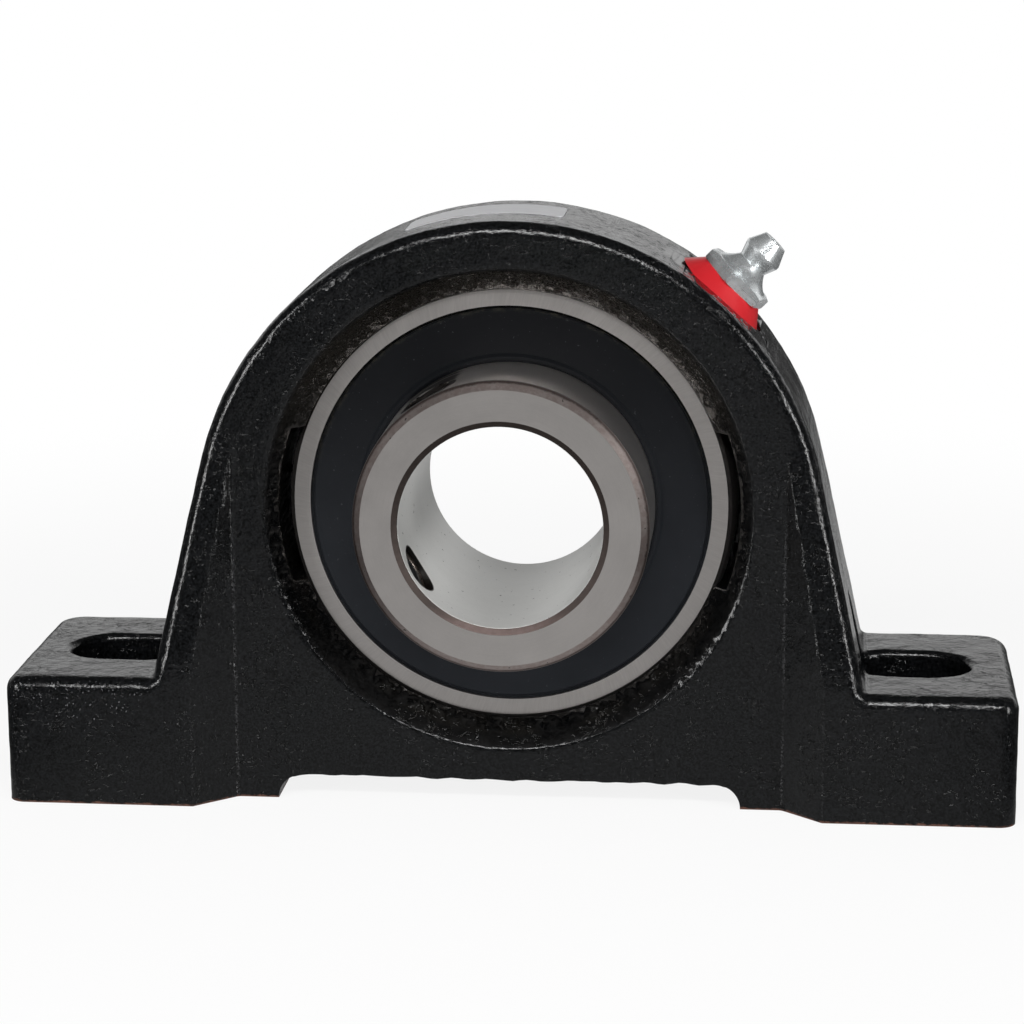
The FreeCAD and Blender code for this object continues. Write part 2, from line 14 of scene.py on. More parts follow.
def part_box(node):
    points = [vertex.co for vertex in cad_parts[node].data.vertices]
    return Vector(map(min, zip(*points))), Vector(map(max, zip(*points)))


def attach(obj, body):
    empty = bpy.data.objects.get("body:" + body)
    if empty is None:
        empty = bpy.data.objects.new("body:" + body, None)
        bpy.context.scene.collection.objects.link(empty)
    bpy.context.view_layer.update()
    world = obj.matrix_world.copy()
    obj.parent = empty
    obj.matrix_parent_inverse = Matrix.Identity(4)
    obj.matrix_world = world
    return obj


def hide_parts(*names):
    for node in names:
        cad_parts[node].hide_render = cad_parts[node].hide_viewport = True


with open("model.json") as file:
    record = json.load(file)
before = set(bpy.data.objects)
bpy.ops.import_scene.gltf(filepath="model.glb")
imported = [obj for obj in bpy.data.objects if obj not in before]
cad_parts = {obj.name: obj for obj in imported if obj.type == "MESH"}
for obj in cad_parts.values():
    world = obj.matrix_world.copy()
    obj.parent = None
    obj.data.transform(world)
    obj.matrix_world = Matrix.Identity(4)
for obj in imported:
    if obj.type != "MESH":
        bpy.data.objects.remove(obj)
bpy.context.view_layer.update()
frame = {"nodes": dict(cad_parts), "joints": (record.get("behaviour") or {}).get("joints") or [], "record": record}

bl_info = {
    "name": "Pillow Block Bearing",
    "version": (1, 0, 0),
    "blender": (4, 5, 0),
    "location": "3D View > Sidebar > Bearing",
    "description": "Finishes and small pieces for a two-bolt pillow block bearing",
    "category": "Object",
}

MM = 0.001

mounts = {mount["name"]: mount for mount in frame["record"]["mounts"]}
shaft_height = mounts["shaft_bore"]["pos_m"][2]
bore_radius = mounts["shaft_bore"]["dims"]["r_mm"] * MM
ring_low, ring_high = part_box("inner_ring")
nose_radius = (ring_high.x - ring_low.x) / 2
nose_front = ring_low.y
insert_low, insert_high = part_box("outer_ring")
housing_low, housing_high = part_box("housing")
collar_low, collar_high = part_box("fitting_collar")
collar_centre = (collar_low + collar_high) / 2
label_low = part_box("crown_label")[0]
fitting_lean = math.radians(45)

# Edges of the posts' front, out from the middle, and front faces of the waist and the feet
post_inner_edge = 43.6 * MM
post_outer_edge = 50 * MM
waist_face = -14.25 * MM
foot_face = -20 * MM
# Radius of the housing's lip about the shaft
lip_radius = 38.5 * MM


def length(name, text, default):
    """A size in metres for the sidebar."""
    return FloatProperty(name=name, description=text, default=default, min=0.0, max=1.0,
                         unit="LENGTH", precision=5)


def share(name, text, default):
    """A plain number between 0 and 1."""
    return FloatProperty(name=name, description=text, default=default, min=0.0, max=1.0)


def colour(name, text, default):
    """A scene-linear colour."""
    return FloatVectorProperty(name=name, description=text, default=default, size=3,
                               min=0.0, max=1.0, subtype="COLOR")


class BearingCasting(bpy.types.PropertyGroup):
    """Cast housing: its grid, its skin and its paint."""
    grid: length("Grid", "Spacing of the cuts that carry the skin", 1.1 * MM)
    wave_height: length("Wave height", "Height of the broad waves in the skin", 0.075 * MM)
    wave_size: length("Wave size", "Size of the broad waves", 5.5 * MM)
    grain_height: length("Grain height", "Height of the sand grain in the mesh", 0.045 * MM)
    grain_size: length("Grain size", "Size of the sand grain", 1.7 * MM)
    flash_height: length("Flash height", "Raggedness of the recess's lower edges", 0.3 * MM)
    paint: colour("Paint", "Black gloss paint", (0.0026, 0.0028, 0.0031))
    # Oil film colour, also used as painted light on the upper part of the lip's cone
    film: colour("Oil film", "Brown film of oil and dust around the insert",
                 (0.0125, 0.0105, 0.0075))
    # Pale specks of dust, also used for painted glints and painted highlight lines on the housing
    dust: colour("Dust", "Pale specks in the paint", (0.11, 0.11, 0.115))
    rust: colour("Rust", "Rust and bare iron along the feet", (0.085, 0.035, 0.022))
    paint_roughness: share("Paint roughness", "Roughness of the paint", 0.11)


class BearingSteel(bpy.types.PropertyGroup):
    """Steel of the rings, the fitting and the small parts."""
    ring: colour("Ring steel", "Ground faces of the rings", (0.62, 0.59, 0.57))
    bore: colour("Bore steel", "Ground wall of the bore", (0.68, 0.68, 0.665))
    stain: colour("Stain", "Brown film on the bore's chamfer", (0.06, 0.045, 0.04))
    copper: colour("Heat tint", "Copper-brown tint on the nose's chamfer", (0.5, 0.41, 0.385))
    zinc: colour("Zinc", "Bright zinc plate", (0.8, 0.83, 0.84))
    oxide: colour("Black oxide", "Set screws", (0.03, 0.03, 0.032))
    # Painted shade: this dark steel stands for the shade deep in the set-screw holes
    thread: colour("Oiled thread", "Oily threads of the set-screw holes", (0.22, 0.19, 0.17))
    cage: colour("Cage steel", "Pressed sheet steel", (0.42, 0.41, 0.4))
    ball: colour("Ball steel", "Polished balls between the rings", (0.78, 0.78, 0.79))
    valve: colour("Valve steel", "Check ball and spring of the fitting", (0.75, 0.75, 0.76))


class BearingPlastics(bpy.types.PropertyGroup):
    """Seal rubber, collar plastic and label foil."""
    seal: colour("Seal rubber", "Charcoal rubber", (0.0022, 0.0026, 0.0034))
    collar: colour("Collar", "Red moulded plastic", (0.56, 0.009, 0.016))
    foil: colour("Label foil", "Plain light grey foil", (0.68, 0.68, 0.7))


class BearingThreads(bpy.types.PropertyGroup):
    """Threads of the set screws and of their holes."""
    pitch: length("Pitch", "Height of one turn", 1.06 * MM)
    depth: length("Depth", "Depth of the thread in the ring", 0.5 * MM)
    screw_gap: length("Screw gap", "Gap between the ring's thread and the screw", 0.05 * MM)
    screw_depth: length("Screw depth", "Depth of the screw's own thread", 0.42 * MM)
    hole_radius: length("Hole radius", "Radius of the hole's wall", 3.97 * MM)
    key_flats: length("Key size", "Width of the hexagon socket", 3.97 * MM)
    key_depth: length("Key depth", "Depth of the hexagon socket", 2.4 * MM)
    cup_depth: length("Cup depth", "Depth of the hollow in the screw's point", 0.8 * MM)
    steps: IntProperty(name="Steps", description="Steps to one turn", default=40, min=12, max=96)


class BearingStage(bpy.types.PropertyGroup):
    """Camera, lamps and backdrop."""
    camera_place: FloatVectorProperty(
        name="Camera", description="Place of the camera", size=3, subtype="TRANSLATION",
        default=(46.68 * MM, -485.69 * MM, 157.235 * MM), precision=5)
    camera_turn: FloatVectorProperty(
        name="Camera turn", description="Yaw, pitch and roll of the camera", size=3,
        default=(0.0969, -0.2270, 0.0042), precision=4)
    lens: FloatProperty(name="Lens", description="Focal length on a 36 mm sensor",
                        default=109.14, min=10.0, max=300.0)
    floor_in_gloss: share("Floor in gloss", "Brightness of the floor that gloss mirrors", 0.34)
    behind_in_gloss: share("Floor behind in gloss", "The same, behind the object", 0.6)
    dark_in_gloss: share("Dark in gloss", "Brightness of the rest that gloss mirrors", 0.05)
    room_light: share("Room light", "Brightness of the soft light all round", 0.22)
    lamp_glow: FloatProperty(name="Lamp glow", description="Brightness of a lamp's own face",
                             default=26.0, min=0.0, max=50.0)


class Value:
    """A shader socket on which arithmetic adds Math nodes."""

    def __init__(self, finish, socket):
        self.finish = finish
        self.socket = socket

    def __add__(self, other):
        return self.finish.maths("ADD", self, other)

    def __sub__(self, other):
        return self.finish.maths("SUBTRACT", self, other)

    def __rsub__(self, other):
        return self.finish.maths("SUBTRACT", other, self)

    def __mul__(self, other):
        return self.finish.maths("MULTIPLY", self, other)

    def __truediv__(self, other):
        return self.finish.maths("DIVIDE", self, other)

    __radd__ = __add__
    __rmul__ = __mul__


class Finish:
    """The node tree of a new material, or of a world."""

    def __init__(self, owner):
        if isinstance(owner, str):
            owner = bpy.data.materials.new(owner)
            owner.use_nodes = True
        self.material = owner
        self.tree = owner.node_tree
        self.tree.nodes.clear()

    def node(self, kind, settings, sockets, output=0):
        """Add a node: its settings first, then the values or links of its sockets."""
        made = self.tree.nodes.new(kind)
        for key, setting in settings.items():
            setattr(made, key, setting)
        for key, value in sockets.items():
            if isinstance(value, Value):
                self.tree.links.new(value.socket, made.inputs[key])
            else:
                made.inputs[key].default_value = value
        if len(made.outputs) == 0:
            return None
        return Value(self, made.outputs[output])

    def maths(self, operation, *values):
        """One Math node on values and numbers."""
        return self.node("ShaderNodeMath", {"operation": operation}, dict(enumerate(values)))

    def larger(self, first, second):
        """The larger of two values."""
        return self.maths("MAXIMUM", first, second)

    def place(self):
        """Object coordinates, in metres."""
        return self.node("ShaderNodeTexCoord", {}, {}, "Object")

    def split(self, vector):
        """The three values of a vector."""
        separated = self.node("ShaderNodeSeparateXYZ", {}, {0: vector})
        outputs = separated.socket.node.outputs
        return [Value(self, outputs[index]) for index in range(3)]

    def join(self, x, y, z):
        """A vector of three values."""
        return self.node("ShaderNodeCombineXYZ", {}, {0: x, 1: y, 2: z})

    def noise(self, vector, size, detail=2.0, roughness=0.5):
        """Noise between 0 and 1, with features of the given size in metres."""
        return self.node("ShaderNodeTexNoise", {}, {
            "Vector": vector, "Scale": 1 / size, "Detail": detail, "Roughness": roughness})

    def step(self, value, low, high):
        """0 below low, 1 above high and smooth between; the other way round if low > high."""
        return self.node("ShaderNodeMapRange", {"interpolation_type": "SMOOTHSTEP"}, {
            "Value": value, "From Min": low, "From Max": high})

    def near(self, value, centre, outer, inner):
        """1 within the inner distance of a centre value, 0 beyond the outer distance."""
        return self.step(self.maths("ABSOLUTE", value - centre), outer, inner)

    def mix(self, factor, first, second):
        """Blend two colours."""
        return self.node("ShaderNodeMix", {"data_type": "RGBA"}, {
            0: factor, 6: first, 7: second}, 2)

    def tint(self, shade_of, shade):
        """A colour multiplied by a shade."""
        return self.node("ShaderNodeMix", {"data_type": "RGBA", "blend_type": "MULTIPLY"}, {
            0: 1.0, 6: shade_of, 7: self.join(shade, shade, shade)}, 2)

    def stretched(self, vector, x, y, z):
        """Coordinates with each axis multiplied."""
        return self.node("ShaderNodeMapping", {}, {"Vector": vector, "Scale": (x, y, z)})

    def off_shaft(self, x, z):
        """Distance from the shaft's axis."""
        up = z - shaft_height
        return self.maths("SQRT", x * x + up * up)

    def round_shaft(self, x, z):
        """Angle about the shaft's axis, as a share of a turn."""
        return self.maths("ARCTAN2", z - shaft_height, x) / math.tau

    def bump(self, height, distance):
        """Normal of a relief whose height runs from 0 to 1 over a distance in metres."""
        return self.node("ShaderNodeBump", {}, {"Height": height, "Distance": distance})

    def surface(self, **sockets):
        """Principled surface; socket names are written with underscores."""
        named = {key.replace("_", " "): value for key, value in sockets.items()}
        shader = self.node("ShaderNodeBsdfPrincipled", {}, named)
        self.node("ShaderNodeOutputMaterial", {}, {"Surface": shader})
        return self.material


def rgba(values):
    """Colour property as a socket's value."""
    return (*values, 1.0)


def painted_casting(settings):
    """Gloss black paint over a sand-cast skin, with rust where the feet were ground."""
    finish = Finish("painted_casting")
    place = finish.place()
    x, y, z = finish.split(place)
    radius = finish.off_shaft(x, z)
    waves = finish.noise(place, 2.2 * MM)
    grain = finish.noise(place, 0.6 * MM, 3.0, 0.65)
    patches = finish.noise(place, 8 * MM, 2.0, 0.6)
    fleck = finish.noise(place, 0.32 * MM, 2.0, 0.6)

    # Flat pits and thin winding creases in the skin
    flattened = finish.stretched(place, 1.0, 1.0, 2.0)
    pits = finish.step(finish.noise(flattened, 1.1 * MM), 0.6, 0.68) \
        * finish.step(patches, 0.42, 0.55)
    worms = finish.near(finish.noise(place, 3 * MM, 3.0, 0.55), 0.5, 0.016, 0.006) \
        * finish.step(patches, 0.52, 0.6)

    # Painted highlight lines down the posts' edges, and pale specks that are partly dust and partly painted
    # glints, thickest on the left foot by the post
    wander = finish.maths("ABSOLUTE", x) + (grain - 0.5) * 0.5 * MM
    inner_edge_highlight = finish.near(wander, post_inner_edge, 0.28 * MM, 0.08 * MM) \
        * finish.near(y, waist_face, 2.25 * MM, 1.25 * MM) * finish.step(z, 50 * MM, 40 * MM)
    outer_edge_highlight = finish.near(wander, post_outer_edge, 0.22 * MM, 0.06 * MM) \
        * finish.step(y, foot_face + MM, foot_face) * finish.step(z, 22 * MM, 20 * MM)
    painted_edge_highlights = (inner_edge_highlight * 0.7 + outer_edge_highlight * 0.3) \
        * (finish.step(waves, 0.4, 0.6) * 0.7 + 0.3) * finish.step(fleck, 0.4, 0.6)
    corner = finish.step(x, -post_outer_edge, -post_outer_edge - 10 * MM) \
        * finish.step(y, foot_face + 2 * MM, foot_face) * finish.step(z, 9 * MM, 19 * MM)
    specks = finish.step(finish.noise(place, 0.4 * MM, 1.0) + corner * 0.08, 0.75, 0.81) \
        * finish.step(patches + corner * 0.3, 0.5, 0.7)
    dust = finish.larger(specks, painted_edge_highlights * 0.35)

    # Brown film of oil and dust inside the lip, thick above the insert and thin below it; the thick film above the
    # insert is also painted light on the cone's upper part
    cone = finish.step(radius, lip_radius, lip_radius - 0.6 * MM)
    film_and_light_above = finish.step(z, shaft_height + 4 * MM, shaft_height + 24 * MM)
    by_insert = finish.step(radius, lip_radius - 1.4 * MM, lip_radius - 1.9 * MM) \
        * finish.step(patches, 0.4, 0.6)
    film = cone * finish.larger(film_and_light_above, by_insert * 0.4) * (fleck * 1.3 + 0.1)

    ground_edge = finish.step(z, 1.3 * MM, 0.0)
    rust = finish.step(ground_edge + finish.noise(place, 1.6 * MM, 4.0, 0.7), 1.3, 1.5)
    mottle = finish.step(fleck * 0.6 + grain * 0.4, 0.38, 0.62) * 2.3 + 0.1
    mottle = mottle * (1 - finish.larger(pits, worms) * 0.7)
    # Painted shade: the paint is darker inside the lip's cone
    paint = finish.tint(rgba(settings.paint), mottle * (1 - cone * 0.6))
    paint = finish.mix(film * 0.6, paint, rgba(settings.film))
    # Pale specks of dust and painted glints, and painted highlight lines down the posts
    paint = finish.mix(dust, paint, rgba(settings.dust))

    # Relief of the skin, low around the grease fitting's spot face
    from_collar = finish.node("ShaderNodeVectorMath", {"operation": "DISTANCE"}, {
        0: place, 1: collar_centre}, 1)
    skin = (waves * 0.6 + grain * 0.25 + fleck * 0.08 - pits * 0.35 - worms * 0.35) \
        * (finish.step(from_collar, 10 * MM, 12.5 * MM) * 0.85 + 0.15)
    return finish.surface(
        Base_Color=finish.mix(rust, paint, rgba(settings.rust)),
        Roughness=grain * 0.1 + settings.paint_roughness + rust * 0.5 + film * 0.15,
        Specular_IOR_Level=0.4,
        Normal=finish.bump(skin, 0.22 * MM))


def screw_axes():
    """Direction of each set screw out from the shaft, and its place along the shaft."""
    for joint in frame["joints"]:
        if joint["name"].startswith("set_screw_"):
            low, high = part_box(joint["name"].replace("_travel", ""))
            yield Vector(joint["axis"]), (low.y + high.y) / 2


def painted_shade_by_screw(finish, steel, spot, radius, uneven, axis, centre_y):
    """Steel with painted shade in one set screw's hole, and a streaky band of painted shade and dark reflection on
    the nose from it to the seal.
    """
    # Painted shade: the oil colour darkens the hole, and the grease colour is the painted dark reflection behind
    # it
    oil = (0.035, 0.031, 0.028, 1)
    grease = (0.03, 0.027, 0.025, 1)
    pale_streak = (0.7, 0.67, 0.64, 1)
    x, y, z = spot
    up = z - shaft_height
    out = x * axis.x + up * axis.z
    across = x * axis.z - up * axis.x
    along = y - centre_y
    off = finish.maths("SQRT", across * across + along * along)
    this_side = finish.step(out, 0.0, bore_radius / 2)
    countersink = finish.step(radius, nose_radius - 0.9 * MM, nose_radius - 0.7 * MM) * 0.9 * MM
    hole_shade = this_side * finish.step(off - countersink, 4.2 * MM, 4.0 * MM)
    steel = finish.mix(hole_shade * 0.95, steel, oil)
    dark_reflection = finish.near(across + (uneven - 0.5) * 2 * MM, 0.0, 5.4 * MM, 4.0 * MM) \
        * finish.near(radius, nose_radius, 0.2 * MM, 0.1 * MM) * this_side \
        * finish.step(along, 0.0, MM) * finish.step(y, 0.0, insert_low.y)
    streak = finish.step(finish.noise(finish.join(across * 0.08, 0.0, y), 1.3 * MM, 2.0, 0.6),
                         0.5, 0.6)
    return finish.mix(dark_reflection * 0.9, steel, finish.mix(streak * 0.8, grease, pale_streak))


def ring_steel(settings):
    """Ground bearing steel: stroked faces, turned walls, a specked bore, brown chamfers."""
    worn_copper = (0.66, 0.6, 0.575, 1)
    brown_rim = (0.075, 0.05, 0.045, 1)
    paler_stain = (0.2, 0.145, 0.135, 1)
    speck = (0.05, 0.045, 0.04, 1)
    finish = Finish("ring_steel")
    place = finish.place()
    x, y, z = finish.split(place)
    radius = finish.off_shaft(x, z)
    arc = finish.round_shaft(x, z) * 0.2
    strokes = finish.noise(finish.join(arc + radius * 0.2, radius * 0.07, y * 0.3),
                           0.22 * MM, 2.0, 0.6)
    turning = finish.noise(finish.join(arc * 0.02, radius, y), 0.16 * MM, 2.0, 0.6)
    cloud = finish.noise(place, 6 * MM, 3.0, 0.6)
    fine = finish.noise(place, 0.5 * MM, 3.0, 0.6)
    uneven = finish.noise(place, 0.9 * MM, 3.0, 0.65)

    # Where each finish lies, by radius about the shaft and by distance behind the nose's face
    behind = y - nose_front
    bore = finish.step(radius, bore_radius + 0.25 * MM, bore_radius + 0.05 * MM)
    inner = finish.step(radius, nose_radius + 1 * MM, nose_radius)
    outer = finish.step(radius, nose_radius + 3 * MM, nose_radius + 4 * MM)
    mouth = finish.step(radius, bore_radius + 1.02 * MM, bore_radius + 0.92 * MM) \
        * finish.step(radius, bore_radius, bore_radius + 0.06 * MM) \
        * finish.step(behind, 1.0 * MM, 0.7 * MM)
    nose_edge = finish.step(radius, nose_radius - 1.4 * MM, nose_radius - 1.2 * MM) \
        * finish.step(behind, 1.6 * MM, 1.1 * MM)
    rim = finish.step(radius + uneven * 0.5 * MM, nose_radius - 0.3 * MM,
                      nose_radius + 0.05 * MM)
    below = finish.step(z, shaft_height - 12 * MM, shaft_height - 16 * MM)
    specks = finish.step(finish.noise(place, 0.9 * MM, 1.0), 0.745, 0.77) * (bore + nose_edge)
    pores = finish.step(finish.noise(place, 0.3 * MM, 1.0), 0.72, 0.78) * bore

    rolled = turning * (1 - outer) + strokes * outer
    shade = cloud * 0.14 + fine * 0.06 + rolled * (outer * 0.16 + 0.1) + inner * 0.14 + 0.83
    steel = finish.tint(finish.mix(bore, rgba(settings.ring), rgba(settings.bore)), shade)
    copper = finish.mix(finish.step(uneven, 0.4, 0.62) * 0.5, rgba(settings.copper), worn_copper)
    steel = finish.mix(nose_edge, steel, finish.mix(rim * 0.85, copper, brown_rim))
    # The stain on the bore's chamfer is paler below the shaft
    stain = finish.mix(below * 0.6, rgba(settings.stain), paler_stain)
    steel = finish.mix(mouth * 0.97, steel, finish.tint(stain, uneven * 0.8 + 0.5))
    steel = finish.mix(specks * 0.8 + pores * 0.25, steel, speck)
    # Painted shade in each set screw's hole, with painted dark reflection behind it
    for axis, centre_y in screw_axes():
        steel = painted_shade_by_screw(finish, steel, (x, y, z), radius, uneven, axis, centre_y)
    return finish.surface(
        Base_Color=steel,
        Metallic=1.0,
        Roughness=fine * 0.1 + cloud * 0.08 + bore * 0.15 + mouth * 0.22 + 0.26,
        Normal=finish.bump(rolled, 0.004 * MM))


def seal_rubber(settings):
    """Moulded charcoal rubber, with dust caught in the groove around it, and painted shade: dark at the top,
    lighter towards the bottom.
    """
    # Lighter, bloomed rubber, used as painted light towards the bottom of the seal
    bloomed = (0.0175, 0.0195, 0.0235, 1)
    groove_dust = (0.04, 0.037, 0.026, 1)
    pale_speck = (0.08, 0.085, 0.09, 1)
    finish = Finish("seal_rubber")
    place = finish.place()
    x, _, z = finish.split(place)
    bloom = finish.noise(place, 7 * MM, 4.0, 0.65)
    specks = finish.step(finish.noise(place, 0.5 * MM), 0.7, 0.78)
    rim = finish.step(finish.off_shaft(x, z), 30.6 * MM, 32.0 * MM) \
        * finish.step(finish.noise(place, 1.1 * MM, 4.0, 0.7), 0.45, 0.65) \
        * finish.step(z, shaft_height - 8 * MM, shaft_height + 20 * MM)
    # Painted light and shade: lighter and patchy with bloom towards the bottom, dark at the top under the
    # housing's lip
    painted_light_below = finish.step(z, shaft_height + 32 * MM, shaft_height - 28 * MM)
    rubber = finish.mix((bloom * 0.5 + 0.7) * painted_light_below, rgba(settings.seal), bloomed)
    rubber = finish.mix(rim * 0.6, rubber, groove_dust)
    return finish.surface(
        Base_Color=finish.mix(specks * 0.3, rubber, pale_speck),
        Roughness=bloom * 0.15 + 0.45,
        Specular_IOR_Level=0.12,
        Normal=finish.bump(finish.noise(place, 0.3 * MM, 3.0, 0.6), 0.012 * MM))


def plain_metal(name, base, roughness, grain_size, grain_height):
    """Metal of the small parts, with its own grain."""
    finish = Finish(name)
    place = finish.place()
    grain = finish.noise(place, grain_size, 3.0, 0.6)
    cloud = finish.noise(place, grain_size * 8, 2.0, 0.5)
    shade = grain * 0.25 + cloud * 0.2 + 0.78
    return finish.surface(
        Base_Color=finish.tint(rgba(base), shade),
        Metallic=1.0,
        Roughness=grain * 0.15 + roughness,
        Normal=finish.bump(grain, grain_height))


def zinc_plate(settings):
    """Bright zinc over turned steel, speckled, with a rougher hexagon, and painted shade darker to the left."""
    finish = Finish("zinc_plate")
    place = finish.place()
    x, _, z = finish.split(place)
    aside, rise = x - collar_centre.x, z - collar_centre.z
    up = aside * math.cos(fitting_lean) + rise * math.sin(fitting_lean)
    across = rise * math.cos(fitting_lean) - aside * math.sin(fitting_lean)
    hexagon = finish.step(up, 3.6 * MM, 3.3 * MM)
    # Painted shade: the hexagon's left face and the fitting's left side are darker
    shaded_left_face = finish.step(across, 0.9 * MM, 1.3 * MM) * hexagon
    cloud = finish.noise(place, 1.5 * MM, 3.0, 0.6)
    grain = finish.noise(place, 0.28 * MM, 2.0, 0.6)
    turned = finish.noise(finish.join(up, 0.0, 0.0), 0.2 * MM, 2.0, 0.6)
    marks = finish.step(grain, 0.55, 0.7) * (hexagon * 0.5 + 0.15)
    shadow = finish.step(aside, -0.5 * MM, -3 * MM) * (hexagon * 0.35 + 0.2)
    shade = cloud * 0.5 + turned * 0.25 + hexagon * 0.1 + 0.58 \
        - marks * 0.5 - shadow - shaded_left_face * 0.3
    return finish.surface(
        Base_Color=finish.tint(rgba(settings.zinc), shade),
        Metallic=0.78,
        Roughness=cloud * 0.14 + hexagon * 0.1 + 0.2,
        Normal=finish.bump(grain * (hexagon * 0.7 + 0.15) + turned * 0.2, 0.02 * MM))


def collar_plastic(settings):
    """Red moulded plastic, slightly bloomed."""
    bloomed = (0.62, 0.03, 0.035, 1)
    finish = Finish("collar_plastic")
    place = finish.place()
    cloud = finish.noise(place, 2.5 * MM, 3.0, 0.6)
    red = finish.mix(cloud * 0.5, rgba(settings.collar), bloomed)
    return finish.surface(
        Base_Color=red,
        Roughness=cloud * 0.15 + 0.3,
        Normal=finish.bump(finish.noise(place, 0.4 * MM), 0.01 * MM))


def label_foil(settings):
    """Plain foil with faint wrinkles and a brown line along part of its front edge."""
    wrinkled = (0.5, 0.5, 0.51, 1)
    brown = (0.2, 0.13, 0.1, 1)
    finish = Finish("label_foil")
    place = finish.place()
    x, y, _ = finish.split(place)
    wrinkle = finish.noise(finish.stretched(place, 0.4, 1.0, 1.0), 1.6 * MM, 3.0, 0.6)
    line = finish.near(y + (wrinkle - 0.5) * 0.3 * MM, label_low.y + 1.1 * MM,
                       0.22 * MM, 0.1 * MM) \
        * finish.step(x, label_low.x + 11 * MM, label_low.x + 8 * MM)
    foil = finish.mix(wrinkle * 0.3, rgba(settings.foil), wrinkled)
    return finish.surface(
        Base_Color=finish.mix(line * 0.7, foil, brown),
        Roughness=wrinkle * 0.15 + 0.35,
        Metallic=0.35,
        Normal=finish.bump(wrinkle, 0.03 * MM))


def fade(distance, start, run):
    """0 up to a start, 1 from a run past it, and straight between."""
    return min(1.0, max(0.0, (distance - start) / run))


def dress(piece, material):
    """Give a piece one material."""
    piece.data.materials.clear()
    piece.data.materials.append(material)


def pick(piece):
    """Make one object active and the only one selected."""
    bpy.ops.object.select_all(action="DESELECT")
    piece.select_set(True)
    bpy.context.view_layer.objects.active = piece


def copy_of(node, name):
    """Merged copy of a CAD node's mesh, as a piece of its own."""
    source = frame["nodes"][node]
    piece = bpy.data.objects.new(name, source.data.copy())
    bpy.context.scene.collection.objects.link(piece)
    pick(piece)
    bpy.ops.object.mode_set(mode="EDIT")
    bpy.ops.mesh.select_all(action="SELECT")
    bpy.ops.mesh.remove_doubles(threshold=0.001 * MM)
    bpy.ops.object.mode_set(mode="OBJECT")
    return piece


def stand_for(piece, node, body):
    """Let a piece take a CAD node's place."""
    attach(piece, body)
    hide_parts(node)


def apply_modifiers(piece):
    """Apply all of a piece's modifiers in order."""
    pick(piece)
    for modifier in list(piece.modifiers):
        bpy.ops.object.modifier_apply(modifier=modifier.name)


